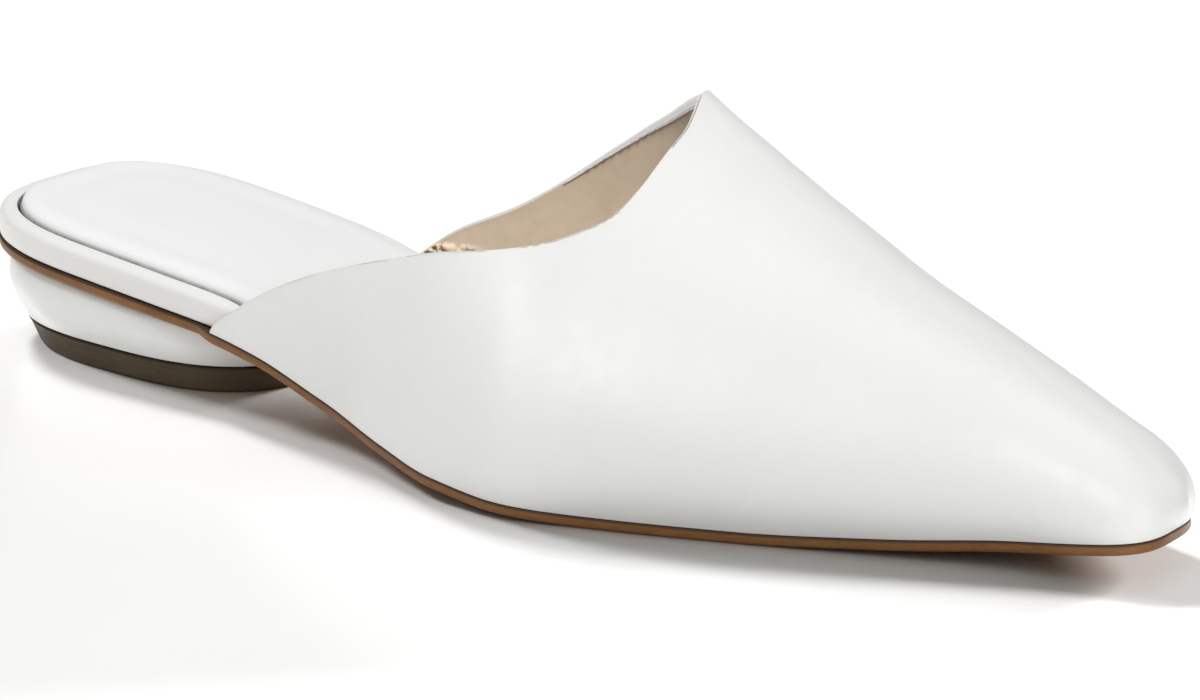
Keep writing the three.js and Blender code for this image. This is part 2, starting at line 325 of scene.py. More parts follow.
whiteLeather = {
    "colour": (0.87, 0.872, 0.862),
    "cloudColour": (0.845, 0.848, 0.835),
    "poreColour": (0.79, 0.79, 0.77),
    "edgeShadeColour": (0.8, 0.785, 0.745),
    "cloudSize": 38,
    "grainSize": 0.55,
    "poreSpacing": 1.1,
    "mottling": 0.16,
    "warp": 0.6,
    "grainMix": (-0.6, 0.25, 1.2),  # shares of the cells, the pores and the broad folds
    "grainStrength": 0.35,
    "grainHeight": 0.05,
    "roughness": (0.33, 0.43),
    "specular": 0.5,
    "coat": 0.08,
    "coatRoughness": 0.35,
    "sheen": 0.04,
}
upperLeatherMaterial = leatherMaterial("smoothWhiteLeather", whiteLeather)
sockLeatherMaterial = leatherMaterial("sockLeather", {
    **whiteLeather,
    "colour": (0.9, 0.902, 0.908),
    "cloudColour": (0.885, 0.887, 0.893),
    "poreColour": (0.82, 0.82, 0.825),
    # dark grey: painted shade in the groove between the sock and the rand
    "edgeShadeColour": (0.24, 0.23, 0.22),
    "grainSize": 0.42,
    "poreSpacing": 0.8,
    "roughness": (0.44, 0.54),
    "coat": 0.0,
})
heelLeatherMaterial = leatherMaterial("heelWrapLeather", {
    **whiteLeather,
    "colour": (0.88, 0.885, 0.865),
    "cloudColour": (0.86, 0.865, 0.845),
    "roughness": (0.28, 0.38),
    "coat": 0.2,
    "coatRoughness": 0.25,
})
liningMaterial = leatherMaterial("tanLiningLeather", {
    **whiteLeather,
    "colour": (0.5, 0.405, 0.3),
    "cloudColour": (0.46, 0.365, 0.265),
    "poreColour": (0.37, 0.28, 0.195),
    # darker tan: painted shade in the gathers and along the lining's top edge
    "edgeShadeColour": (0.36, 0.265, 0.18),
    "cloudSize": 22,
    "mottling": 0.35,
    "grainStrength": 0.5,
    "roughness": (0.6, 0.75),
    "specular": 0.3,
    "coat": 0.0,
    "sheen": 0.1,
})


def soleMaterial(name, look):
    # stacked sole leather: streaks along the shoe on its edge, a cloudy face underneath
    material, tree, shader, place = newMaterial(name, {"Specular IOR Level": 0.22})
    streaks = addNoise(tree, stretch(tree, place, (0.12, 0.12, 1.0)), look["streakSize"], 4.0)
    clouds = addNoise(tree, place, look["cloudSize"], 3.0)
    colour = addMix(tree, addRange(tree, streaks, 0.3, 0.7), look["colour"], look["streakColour"])
    colour = addMix(tree, addRange(tree, clouds, 0.35, 0.75, 0, 0.5), colour, look["cloudColour"])
    # the same edge shade tone: painted shadow at the top of the sole's edge under the upper, and
    # darkening at the heel tip's joints
    edge = addNode(tree, "ShaderNodeAttribute", attribute_name="edgeShade").outputs["Fac"]
    colour = addMix(tree, edge, colour, look["edgeShadeColour"])
    grain = addNoise(tree, place, look["grainSize"], 5.0, 0.65)
    height = addSum(tree, grain, addTimes(tree, streaks, 0.5))
    roughness = addRange(tree, grain, 0.3, 0.7, *look["roughness"])
    finishShader(tree, shader, colour, height, 0.4, 0.06, roughness)
    return material


outsoleMaterial = soleMaterial("brownSole", {
    "colour": (0.255, 0.118, 0.04),
    "streakColour": (0.175, 0.075, 0.024),
    "cloudColour": (0.31, 0.15, 0.057),
    # nearly black: painted shadow on the top of the edge, under the upper
    "edgeShadeColour": (0.06, 0.035, 0.022),
    "streakSize": 0.35,
    "cloudSize": 14,
    "grainSize": 0.5,
    "roughness": (0.42, 0.58),
})
heelTipMaterial = soleMaterial("darkHeelRubber", {
    "colour": (0.088, 0.062, 0.034),
    "streakColour": (0.065, 0.046, 0.025),
    "cloudColour": (0.105, 0.078, 0.046),
    "edgeShadeColour": (0.03, 0.02, 0.014),
    "streakSize": 0.5,
    "cloudSize": 9,
    "grainSize": 0.35,
    "roughness": (0.5, 0.66),
})


def boardMaterial():
    material, tree, shader, place = newMaterial("pressedFibreBoard", {"Specular IOR Level": 0.2})
    fibre = addNoise(tree, stretch(tree, place, (0.3, 1.0, 1.0)), 0.4, 6.0, 0.7)
    colour = addMix(tree, addRange(tree, fibre, 0.35, 0.65), (0.6, 0.45, 0.31), (0.47, 0.34, 0.22))
    finishShader(tree, shader, colour, fibre, 0.5, 0.1, addRange(tree, fibre, 0.3, 0.7, 0.75, 0.9))
    return material


def threadMaterial():
    looks = {"Specular IOR Level": 0.35, "Sheen Weight": 0.3}
    material, tree, shader, place = newMaterial("whiteThread", looks)
    sockets = {"Vector": place, "Scale": 1 / (0.9 * mm), "Distortion": 1.5}
    twist = addNode(tree, "ShaderNodeTexWave", sockets, bands_direction="DIAGONAL").outputs["Fac"]
    colour = addMix(tree, twist, (0.84, 0.83, 0.8), (0.68, 0.66, 0.62))
    finishShader(tree, shader, colour, twist, 0.5, 0.05, addRange(tree, twist, 0, 1, 0.5, 0.65))
    return material


threadLook = threadMaterial()
print("materials ready")

upperLook = {
    "flesh": -0.95,  # the leather's flesh side, out from the feather line
    "folded": -0.35,  # and along the topline, where it's folded back on itself
    "foldDepth": 0.45,
    "rearRows": (0, 0.1, 0.4, 1.1, 2.2),  # distances in from the fold
    # painted shade along the topline and along the lower edge by the sole: how dark, and how far it fades
    "edgeShades": ((0.3, 0.8), (0.45, 0.7)),
    "cornerRound": (1.1, 0.02),  # the rear corner: how far it's cut back, up to what share
    "bodyRows": 120,
    "tipRows": 26,
    "ribSteps": 60,
    "foldRows": 8,
    "tuckDepth": 0.25,  # the lower edge turns in over the sole
    "calmRows": 8,  # rows at the topline over which the unevenness comes in
    "ripple": 0.05,  # height of the slow unevenness all over
    # how a step in x and in share counts across a crease and along it
    "creaseLean": ((0.8, 26), (-0.25, 60)),
    # soft creases: x, share up the side, side, length along, width, depth
    "creases": [
        (168, 0.72, -1, 16, 3.2, 0.10), (174, 0.66, -1, 13, 2.6, 0.07), (180, 0.74, -1, 12, 2.8, 0.06),
        (196, 0.62, -1, 14, 3.0, 0.06), (203, 0.56, -1, 12, 2.6, 0.05), (172, 0.7, 1, 15, 3.2, 0.09),
        (181, 0.64, 1, 13, 2.8, 0.07), (199, 0.6, 1, 14, 3.0, 0.05),
    ],
}


def upperPoints(x, keep, inset, side, share):
    # the upper's surface: share climbs a rib from the sole to the crest, inset draws it in
    turn = np.radians(90 * share)

    def leanAt(at):
        return 1 - np.clip(np.cos(turn), 0, 1) ** (2 / crestAt(4, at))

    progress = np.clip((x - cornerX) / (lastShape["length"] - cornerX), 0, 1)
    crestX = blendTo(peakX, lastShape["crestEnd"], progress)
    reach = np.where(side < 0, toplineAt(1, share), toplineAt(2, share))
    cut = (reach - cornerX) / (peakX - cornerX)
    leaned = x + (crestX - x) * blendTo(cut, leanAt(x), smoothStep(progress, 0, lastShape["toplineFade"]))
    foot = np.maximum(x, leaned)
    height = np.sin(turn) ** (2 / crestAt(4, leaned))
    swell = crestAt(3, foot) * lowHump(height)
    edgeY = middleAt(foot) + side * (halfAt(foot) - inset) * keep
    y = blendTo(edgeY + side * swell * keep, crestAt(1, leaned), leanAt(leaned))
    top = crestAt(2, leaned) - inset - lastShape["wall"]
    z = blendTo(riseAt(foot) + lastShape["upperBase"], top, height)
    nose = lastShape["noseBulge"] * hump(height) * (1 - keep)
    return np.stack([leaned + nose, y, z], axis=-1)


def bothSides(climb):
    # up the outer side, over the crest and down the inner side
    share = np.concatenate([climb, climb[::-1][1:]])
    side = np.concatenate([-np.ones(len(climb)), np.ones(len(climb) - 1)])
    return side, share


def ribColumns(steps):
    # closer together near the sole
    climb = np.linspace(0, 1, steps + 1)
    return bothSides(climb * (0.45 + 0.55 * smoothStep(climb, -0.2, 0.35)))


def tipStations(inset, count):
    # the rounded end of the toe: x, share of the half width, and how far each side is slanted
    depth, power = lastShape["toeRound"]
    turn = np.radians(90 * (1 - np.linspace(0, 1, count + 1)[1:]))
    along = np.clip(np.cos(turn), 0, 1) ** (2 / power)
    across = np.clip(np.sin(turn), 0, 1) ** (2 / power)
    x = lastShape["length"] - inset - (depth - inset) * (1 - along)
    return x, across, 2 * lastShape["toeSlant"] * along * across


# distances in from the topline are measured along this surface, as far as the reach
topline = {"reach": 26, "steps": 52, "measured": -0.9}


def shiftsBelow(side, share, distances):
    # how far along the feather line each column starts, to lie these distances in from the topline
    steps = np.linspace(0, topline["reach"], topline["steps"] + 1)
    start = cornerX + steps[:, None] + 0 * share
    trail = upperPoints(start, 1.0, topline["measured"], side, share)
    walked = np.cumsum(np.linalg.norm(np.diff(trail, axis=0, prepend=trail[:1]), axis=-1), axis=0)
    columns = range(len(share))
    rows = [[np.interp(distance[k], walked[:, k], steps) for k in columns] for distance in distances]
    return np.array(rows)


def upperSheet(insets, shifts, side, share):
    # the first rows start at the shifts, the rest run on to the toe; insets has one value for each row
    bodyEnd = lastShape["length"] - lastShape["toeRound"][0]
    spread = np.linspace(0, 1, upperLook["bodyRows"])[1:, None]
    spread = 0.25 * spread**2 + 0.75 * spread
    first = cornerX + shifts
    body = np.vstack([first, first[-1] + (bodyEnd - first[-1]) * spread])
    insets = np.concatenate([insets, np.full(len(body) - len(insets), insets[-1])])
    tip, across, slant = tipStations(insets[-1], upperLook["tipRows"])
    x = np.vstack([body, tip[:, None] - side * slant[:, None]])
    keep = np.vstack([np.ones_like(body), across[:, None] + 0 * share])
    insets = np.concatenate([insets, np.full(len(tip), insets[-1])])
    return upperPoints(x, keep, insets[:, None], side, share)


def unit(vectors):
    length = np.linalg.norm(vectors, axis=-1, keepdims=True)
    return vectors / np.maximum(length, 1e-9)


def sheetNormals(sheet):
    # out from the foot, since rows run to the toe and columns climb the outer side first
    along = np.gradient(sheet, axis=0)
    around = np.gradient(sheet, axis=1)
    return unit(np.cross(along, around))


tuckAngles = np.radians([90, 67.5, 45, 22.5])


def tuckUnder(outer, inner, depth):
    # adds columns that round off both lower edges, where outer and inner then meet
    sheets = []
    for sheet, sign in ((outer, 1), (inner, -1)):
        columns = []
        for edge in (0, -1):
            middle = (outer[:, edge] + inner[:, edge]) / 2
            arm = (outer[:, edge] - inner[:, edge]) / 2
            down = np.array([0, 0, -depth])
            columns.append([middle + sign * arm * np.cos(a) + down * np.sin(a) for a in tuckAngles])
        left = np.stack(columns[0], axis=1)
        right = np.stack(columns[1][::-1], axis=1)
        sheets.append(np.concatenate([left, sheet, right], axis=1))
    return sheets


def roundRear(outer, inner, steps):
    # the rear edge as a half round between the two sheets; both start one radius further on
    middle = (outer[0] + inner[0]) / 2
    arm = (outer[0] - inner[0]) / 2
    radius = np.linalg.norm(arm, axis=-1, keepdims=True)
    ahead = unit(outer[1] - outer[0])
    centre = middle + ahead * radius
    angles = np.linspace(0, math.pi, steps + 1)
    rows = [centre + arm * math.cos(a) - ahead * radius * math.sin(a) for a in angles]
    outer[0], inner[0] = rows[0], rows[-1]
    return np.stack(rows)


def creaseHeight(sheet, side, share):
    # soft troughs with a low ridge on each side, across the vamp where the foot bends
    x = sheet[..., 0]
    total = np.zeros_like(x)
    for at, up, which, length, width, depth in upperLook["creases"]:
        across, along = ((x - at) * a + (share - up) * b for a, b in upperLook["creaseLean"])
        near = np.exp(-((along / length) ** 2)) * (side == which)
        total += -depth * near * (1 - 0.9 * (across / width) ** 2) * np.exp(-((across / width) ** 2))
    wave = np.sin(x * 0.21 + share * 5) * np.sin(x * 0.083 - share * 9 + side)
    return total + upperLook["ripple"] * wave * smoothStep(share, 0.05, 0.3)


def makeUpper():
    side, share = ribColumns(upperLook["ribSteps"])
    cut, cutShare = upperLook["cornerRound"]
    corner = cut * np.clip(1 - share / cutShare, 0, 1) ** 2
    folded = [upperLook["foldDepth"] + d for d in upperLook["rearRows"]]
    distances = [corner + d for d in (0, *folded)]
    shifts = shiftsBelow(side, share, distances)
    outer = upperSheet([-lastShape["wall"]], shifts, side, share)
    inner = upperSheet([upperLook["folded"]] * 2 + [upperLook["flesh"]], shifts, side, share)
    fade = np.minimum(np.arange(len(outer)) / upperLook["calmRows"], 1)
    fade[-upperLook["tipRows"]:] = 0
    outer += sheetNormals(outer) * (creaseHeight(outer, side, share) * fade[:, None])[..., None]
    outer, inner = tuckUnder(outer, inner, upperLook["tuckDepth"])
    rear = roundRear(outer, inner, upperLook["foldRows"])
    fromEdge = np.linalg.norm(outer - outer[:1], axis=-1)
    fromSole = np.linalg.norm(outer - outer[:, :1], axis=-1)
    fromSole = np.minimum(fromSole, np.linalg.norm(outer - outer[:, -1:], axis=-1))
    ways = zip(upperLook["edgeShades"], (fromEdge, fromSole))
    # painted shade that fades in from the topline and from the sole
    outerShade = sum(dark * np.exp(-way / reach) for (dark, reach), way in ways)
    grids = [toned(outer, outerShade), toned(inner, 0.6), toned(rear, 0.45)]
    return meshFromGrids("upperLeather", grids)


upperLeather = finishPiece(makeUpper(), upperLeatherMaterial, ["upper"])

facingLook = {
    "outside": -0.9,
    "inside": -0.1,
    # share of the climb, width of the band below the topline; nothing below the first share
    "width": [(0.27, 0.8), (0.38, 1.0), (0.5, 1.3), (0.7, 1.55), (1, 1.4)],
    "edgeRound": 0.15,
    "clear": 0.03,  # from the fold
    "steps": 75,  # up each side
}
facingWidth = smoothTable(facingLook["width"])


def bandWidth(share):
    first = facingLook["width"][0][0]
    return np.where(share < first, 0, facingWidth(1, np.clip(share, first, 1)))


def belowTopline(side, share, inset, distance):
    # the points of the surface that lie a distance in from the topline, one for each share
    shift = shiftsBelow(side, share, [distance])
    return upperPoints(cornerX + shift, 1.0, inset, side, share)[0]


def facingColumns():
    return bothSides(np.linspace(facingLook["width"][0][0], 1, facingLook["steps"] + 1))


def endCaps(loop, tone):
    # closes both ends of a strip with fans to their middles
    caps = []
    for k in (0, -1):
        middle = np.broadcast_to(loop[:-1, k].mean(axis=0), loop[:, k].shape)
        caps.append(toned(np.stack([loop[:, k], middle]), tone))
    return caps


def makeFacing():
    side, share = facingColumns()
    width = bandWidth(share)
    r = facingLook["edgeRound"]
    cut = 0.3 * r  # the middle of a rounded edge
    low, high = facingLook["outside"], facingLook["inside"]
    top = np.full(len(share), upperLook["foldDepth"] + facingLook["clear"])
    # the section: the hidden face, round the lower edge, up the face that shows, round the upper edge
    section = [(low, top), (low, blendTo(top, width, 0.5)), (low, width), (high - r, width)]
    section += [(high - cut, width - cut), (high, width - r)]
    section += [(high, blendTo(width - r, top + r, part)) for part in (0.25, 0.5, 0.75, 1)]
    section += [(high - cut, top + cut), (high - r, top), (low, top)]
    loop = np.stack([belowTopline(side, share, inset, distance) for inset, distance in section])
    tone = np.zeros(len(section))
    tone[3:5] = 0.8  # the lower edge
    return meshFromGrids("toplineFacing", [toned(loop, tone[:, None]), *endCaps(loop, 0.3)])


toplineFacing = finishPiece(makeFacing(), upperLeatherMaterial)

liningLook = {
    "outside": -0.88,
    "inside": -0.3,
    "ribSteps": 56,
    "clear": 0.05,  # from the facing
    "tuckDepth": 0.1,
    "foldRows": 4,
    "rearRows": (0, 0.6, 1.2, 1.8, 2.4, 3, 3.6, 4.2, 5, 6, 7.2, 8.5),  # distances in from the facing
    # gathers where the lining is drawn together at the corner on the inner side
    "gather": {
        "shares": (0.03, 0.066),
        "slope": 0.0045,  # how much their upper end climbs in each millimetre
        "reach": 9.5,
        "depth": 1.3,
        "pitch": 2.0,
        "columns": (0.01, 0.125, 60),  # first and last share and number of the close columns
    },
}


def gatherShape(length, side, share, distance):
    look = liningLook["gather"]
    first, last = look["shares"]
    upper = share - look["slope"] * distance
    zone = (side > 0) * smoothStep(share, first - 0.015, first)
    zone = zone * (1 - smoothStep(upper, last - 0.003, last + 0.004))
    zone = zone * (1 - smoothStep(distance, look["reach"] - 3, look["reach"]))
    phase = (length + 0.4 * distance * np.sin(length * 0.9)) * 2 * math.pi / look["pitch"]
    folds = 0.5 + 0.5 * np.sin(phase + 1.5 * np.sin(distance * 1.7 + length * 0.6))
    lumps = 0.75 + 0.25 * np.sin(distance * 2.9 + length * 1.7)
    return zone, folds * lumps


def makeLining():
    side, share = ribColumns(liningLook["ribSteps"])
    gather = liningLook["gather"]
    extra = np.linspace(*gather["columns"])
    kept = (side < 0) | (share > extra[-1] + 0.002)
    side = np.concatenate([side[kept], np.ones(len(extra) + 1)])
    share = np.concatenate([share[kept], extra[::-1], [0.0]])
    top = np.maximum(upperLook["foldDepth"], bandWidth(share)) + liningLook["clear"]
    shifts = shiftsBelow(side, share, [top + d for d in liningLook["rearRows"]])
    outer = upperSheet([liningLook["outside"]], shifts, side, share)
    inner = upperSheet([liningLook["inside"]], shifts, side, share)
    away = np.linalg.norm(inner - inner[:1], axis=-1)
    zone, lumps = gatherShape(inner[:1, :, 0], side, share, away)
    inner -= sheetNormals(inner) * (gather["depth"] * zone * lumps)[..., None]
    outer, inner = tuckUnder(outer, inner, liningLook["tuckDepth"])
    rear = roundRear(outer, inner, liningLook["foldRows"])
    # painted shade in the valleys of the gathers, and a painted shadow line along the lining's top and
    # rear edges
    creaseShade = np.pad(zone * (1 - lumps) ** 2, ((0, 0), (len(tuckAngles),) * 2))
    liningShade = 0.5 * np.exp(-np.arange(len(inner)) / 1.5)[:, None] + 0.9 * creaseShade
    return meshFromGrids("upperLining", [toned(outer, 0.0), toned(inner, liningShade), toned(rear, 0.8)])


upperLining = finishPiece(makeLining(), liningMaterial)

stitchLook = {
    "below": -0.28,  # the row runs just over the facing's lower edge
    "pitch": 2.3,
    "length": 1.7,
    "thread": 0.17,
    "sunk": 0.05,  # under the facing's face
    "seed": 4,
    "turn": (0.04, 0.03, 0.09),  # how far a stitch may lie askew, in radians
    "firstShare": 0.3,
}


def pointsPiece(name, points, edges, attribute, vectors):
    # bare points and edges, each point with a vector that the nodes read
    mesh = bpy.data.meshes.new(name)
    mesh.from_pydata([tuple(p) for p in toFrame(points)], edges, [])
    layer = mesh.attributes.new(attribute, "FLOAT_VECTOR", "POINT")
    layer.data.foreach_set("vector", np.asarray(vectors, np.float32).ravel())
    return placeObject(name, mesh)


def nodeGroup(name, inputs):
    tree = bpy.data.node_groups.new(name, "GeometryNodeTree")
    for label, kind in inputs.items():
        tree.interface.new_socket(label, in_out="INPUT", socket_type="NodeSocket" + kind)
    tree.interface.new_socket("Result", in_out="OUTPUT", socket_type="NodeSocketGeometry")
    return tree, addNode(tree, "NodeGroupInput").outputs


def addTube(tree, curve, radius, sides):
    section = addNode(tree, "GeometryNodeCurvePrimitiveCircle", {"Resolution": sides, "Radius": radius})
    sockets = {"Curve": curve, "Profile Curve": section.outputs["Curve"], "Fill Caps": True}
    return addNode(tree, "GeometryNodeCurveToMesh", sockets).outputs["Mesh"]


def readVector(tree, name):
    sockets = {"Name": name}
    return addNode(tree, "GeometryNodeInputNamedAttribute", sockets, data_type="FLOAT_VECTOR").outputs[0]


def placeCopies(tree, sockets, material):
    # an instance at every point, made real and given its material
    placed = addNode(tree, "GeometryNodeInstanceOnPoints", sockets)
    real = addNode(tree, "GeometryNodeRealizeInstances", {"Geometry": placed.outputs["Instances"]})
    sockets = {"Geometry": real.outputs[0], "Material": material}
    painted = addNode(tree, "GeometryNodeSetMaterial", sockets)
    addNode(tree, "NodeGroupOutput", {"Result": painted.outputs[0]})
    return tree


def growNodes(piece, tree, values):
    # runs the group on the piece and keeps the mesh that comes out
    modifier = piece.modifiers.new(tree.name, "NODES")
    modifier.node_group = tree
    for item in tree.interface.items_tree:
        if item.name in values:
            modifier[item.identifier] = values[item.name]
    graph = bpy.context.evaluated_depsgraph_get()
    mesh = bpy.data.meshes.new_from_object(piece.evaluated_get(graph))
    piece.modifiers.clear()
    piece.data = mesh
    mesh.name = piece.name
    mesh.shade_smooth()
    return piece


def stitchTree():
    # one thread arc at every pitch of the path, dipping into the leather at both ends
    numbers = dict.fromkeys(("Pitch", "Stitch length", "Thread radius"), "Float")
    inputs = {"Path": "Geometry", **numbers, "Seed": "Int", "Thread": "Material"}
    tree, given = nodeGroup("stitchRow", inputs)
    path = addNode(tree, "GeometryNodeMeshToCurve", {"Mesh": given["Path"]})
    sockets = {"Curve": path.outputs["Curve"], "Length": given["Pitch"]}
    spaced = addNode(tree, "GeometryNodeResampleCurve", sockets, mode="LENGTH")
    half = addTimes(tree, given["Stitch length"], 0.5)
    back = addTimes(tree, half, -1.0)
    sink = addTimes(tree, given["Thread radius"], -1.4)
    lift = addTimes(tree, given["Thread radius"], 2.0)
    corners = {"Start": {"X": back, "Z": sink}, "Middle": {"Z": lift}, "End": {"X": half, "Z": sink}}
    points = {"Resolution": 8}
    for name, sockets in corners.items():
        points[name] = addNode(tree, "ShaderNodeCombineXYZ", sockets).outputs[0]
    arc = addNode(tree, "GeometryNodeCurveQuadraticBezier", points)
    stitch = addTube(tree, arc.outputs[0], given["Thread radius"], 8)
    sockets = {"Vector": readVector(tree, "faceOut")}
    upright = addNode(tree, "FunctionNodeAlignRotationToVector", sockets, axis="Z")
    tangent = addNode(tree, "GeometryNodeInputTangent")
    sockets = {"Rotation": upright.outputs[0], "Vector": tangent.outputs[0]}
    laid = addNode(tree, "FunctionNodeAlignRotationToVector", sockets, axis="X", pivot_axis="Z")
    most = stitchLook["turn"]
    sockets = {"Seed": given["Seed"], "Min": tuple(-turn for turn in most), "Max": most}
    spin = addNode(tree, "FunctionNodeRandomValue", sockets, data_type="FLOAT_VECTOR")
    sockets = {0: laid.outputs[0], 1: spin.outputs[0]}
    turned = addNode(tree, "FunctionNodeRotateRotation", sockets, rotation_space="LOCAL")
    sockets = {"Points": spaced.outputs["Curve"], "Instance": stitch, "Rotation": turned.outputs[0]}
    return placeCopies(tree, sockets, given["Thread"])


def makeStitches():
    side, share = facingColumns()
    shown = share >= stitchLook["firstShare"]
    side, share = side[shown], share[shown]
    distance = bandWidth(share) + stitchLook["below"]
    points = belowTopline(side, share, facingLook["inside"] - stitchLook["sunk"], distance)
    under = belowTopline(side, share, facingLook["outside"], distance)
    edges = [(k, k + 1) for k in range(len(points) - 1)]
    path = pointsPiece("facingStitches", points, edges, "faceOut", unit(points - under))
    return growNodes(path, stitchTree(), {
        "Pitch": stitchLook["pitch"] * mm,
        "Stitch length": stitchLook["length"] * mm,
        "Thread radius": stitchLook["thread"] * mm,
        "Seed": stitchLook["seed"],
        "Thread": threadLook,
    })


facingStitches = finishPiece(makeStitches(), threadLook)

outlineSteps = {"heel": 34, "body": 90, "toe": 22, "across": 24, "round": 4}
evenTone = 1e3  # a fade so long that the tone is even


def quarterTurn(steps):
    # sine, cosine and share of the way at each step of a right angle
    for k in range(steps + 1):
        a = math.pi / 2 * k / steps
        yield math.sin(a), math.cos(a), k / steps


def outlineStations(insetAt, extra=0.0):
    # x, half-width share, inset and slant of every station, heel to toe
    rows = []
    depth, power = lastShape["heelRound"]
    inset = insetAt(0) + extra
    for k in range(outlineSteps["heel"]):
        turn = math.radians(90 * (k / outlineSteps["heel"]) ** 1.3)
        along, across = math.cos(turn) ** (2 / power), math.sin(turn) ** (2 / power)
        rows.append((inset + (depth - inset) * (1 - along), across, inset, 0.0))
    end = lastShape["length"] - lastShape["toeRound"][0]
    for k in range(outlineSteps["body"] + 1):
        x = depth + (end - depth) * k / outlineSteps["body"]
        rows.append((x, 1.0, insetAt(x) + extra, 0.0))
    inset = insetAt(lastShape["length"]) + extra
    for x, across, slant in zip(*tipStations(inset, outlineSteps["toe"])):
        rows.append((x, across, inset, slant))
    return np.array(rows)


def outlineSides(stations, height):
    # the outline's two sides as lines of points at a height over the sole's underside
    x, keep, inset, slant = stations.T
    lines = []
    for side in (-1, 1):
        at = x - side * slant
        y = middleAt(at) + side * (halfAt(at) - inset) * keep
        lines.append(np.stack([at, y, riseAt(at) + height], axis=-1))
    return lines


def capGrid(stations, height, shapeAt, tone, fade):
    # closes a plate across, with shapeAt giving the height over the rim at a distance from it
    outer, inner = outlineSides(stations, height)
    t = np.linspace(0, 1, outlineSteps["across"] + 1)
    t = 0.5 - 0.5 * np.cos(math.pi * t)
    grid = outer[:, None, :] + (inner - outer)[:, None, :] * t[None, :, None]
    sides = np.minimum(t, 1 - t)[None, :] * np.linalg.norm(inner - outer, axis=-1)[:, None]
    rear = grid[..., 0] - stations[0, 0]
    front = stations[-1, 0] - grid[..., 0]
    # the nearest edge counts most, and near a corner two count together
    distance = 1 / sum(1 / (way + 1e-6) ** 3 for way in (sides, rear, front)) ** (1 / 3)
    grid[..., 2] += shapeAt(grid[..., 0], grid[..., 1], np.maximum(distance, 0))
    return toned(grid, tone * np.exp(-((distance / fade) ** 2)))


def makePlate(name, insetAt, rim, underShape, topShape, toneFade=evenTone):
    # rim lists how far in, how high and how dark each line is, from the underside up
    rings = []
    for drawnIn, height, tone in rim:
        outer, inner = outlineSides(outlineStations(insetAt, drawnIn), height)
        rings.append(toned(np.vstack([outer, inner[::-1]]), tone))
    caps = []
    for (drawnIn, height, tone), shapeAt in ((rim[0], underShape), (rim[-1], topShape)):
        caps.append(capGrid(outlineStations(insetAt, drawnIn), height, shapeAt, tone, toneFade))
    return meshFromGrids(name, [np.stack(rings), *caps])


def quarterRound(drawnIn, height, radius, under, tones):
    # points of a rounded rim corner; under turns it towards the underside
    points = []
    for sine, cosine, part in quarterTurn(outlineSteps["round"]):
        inward, up = (1 - sine, 1 - cosine) if under else (1 - cosine, sine - 1)
        points.append((drawnIn + radius * inward, height + radius * up, blendTo(*tones, part)))
    return points


soleLook = {
    "seatMargin": 0.2,  # how far the sole's edge stands out past the rand
    "foreMargin": 1.8,  # and past the feather line, under the upper
    "lowerRound": 0.75,
    "upperRound": 0.3,
    # the band below is painted shadow under the upper's edge, not the sole's own colour
    "shadowLine": (0.55, 0.4),  # from where to where below the top the dark upper line comes in
    "channel": (3.4, 0.5, 0.3),  # distance from the edge, width and depth of the groove underneath
    "channelStart": (74, 80),  # it deepens between these x
    "treadField": (150, 204, 7.0, 0.35),  # x range, distance from the edge and depth of the recess
}


def soleInset(x):
    fore = smoothStep(x, cornerX - 3, cornerX + 1)
    return -float(blendTo(soleLook["seatMargin"], soleLook["foreMargin"], fore))


def flat(x, y, distance):
    return np.zeros_like(x)


def soleUnderside(x, y, distance):
    # a groove along the edge and a recess for the ribs; distance is from the edge of the flat face
    away, width, depth = soleLook["channel"]
    groove = np.exp(-(((distance - away) / width) ** 2)) * depth
    groove *= smoothStep(x, *soleLook["channelStart"])
    first, last, border, recess = soleLook["treadField"]
    field = smoothStep(distance, border - 0.5, border + 0.5)
    field = field * smoothStep(x, first, first + 1) * (1 - smoothStep(x, last - 1, last))
    return groove + field * recess


def makeOutsole():
    thickness = lastShape["soleThickness"]
    rim = quarterRound(0, 0, soleLook["lowerRound"], True, (0.0, 0.0))
    # the upper part of the edge darkens to the top: painted shadow under the upper's edge
    rim += [(0, thickness - down, tone) for down, tone in zip(soleLook["shadowLine"], (0.0, 0.5))]
    rim += quarterRound(0, thickness, soleLook["upperRound"], False, (0.85, 1.0))
    return makePlate("soleLeather", soleInset, rim, soleUnderside, flat)


soleLeather = finishPiece(makeOutsole(), outsoleMaterial, ["outsole"])

randLook = {
    "width": 3.1,
    "height": 5.2,
    "topRound": 1.75,
    "skived": 0.8,  # thinned under the upper
    "end": 84,
    "roundShare": 0.6,  # of the thickness, at most
    "innerRound": 0.2,
    "sideBulge": 0.14,
    "lower": (0.35, 0.25),  # the face's lower edge is cut back by this much, up to this height
    "chamfer": 0.3,
    "rows": 8,
    # painted shade over the rand's face and rounded top, darker than the upper's leather
    "tone": 0.5,
}


def randInset(x):
    thinned = smoothStep(x, cornerX + 2, randLook["end"])
    return float(blendTo(randLook["width"], randLook["skived"], thinned))


def seatInset(x):
    free = smoothStep(x, randLook["end"] + 2, randLook["end"] + 12)
    return (randInset(x) + sockLook["gap"]) * (1 - float(free))


sockLook = {
    "gap": 0.5,  # between the sock's side and the rand
    "base": 5.3,  # over the sole's underside
    "thickness": 2.1,
    "edgeRound": 0.25,
    "edgeRise": 2.1,  # the cover swells up just inside the groove
    "edgeReach": 3.8,
    "band": (7.5, 2.2, 0.12),  # a shallow trough along the edge: how far in, half width, depth
    # the dark at the seam is painted shade in the groove
    "seamShadeFade": 0.12,  # the dark of the seam ends this far in
    "padStart": 7.5,  # the foam under the cover starts this far in
    "padEnd": 13,
    "padRise": 0.25,
    "wave": 0.06,
    "lower": (110, 150, 0.6),  # ahead of the seat the cover sinks by this share, between these x
    "chamfer": 0.35,
    "foreInset": 1.6,
    "fill": 0.3,
}


def sockInset(x):
    fore = sockLook["foreInset"] * float(smoothStep(x, cornerX, randLook["end"] + 12))
    return max(seatInset(x), fore)


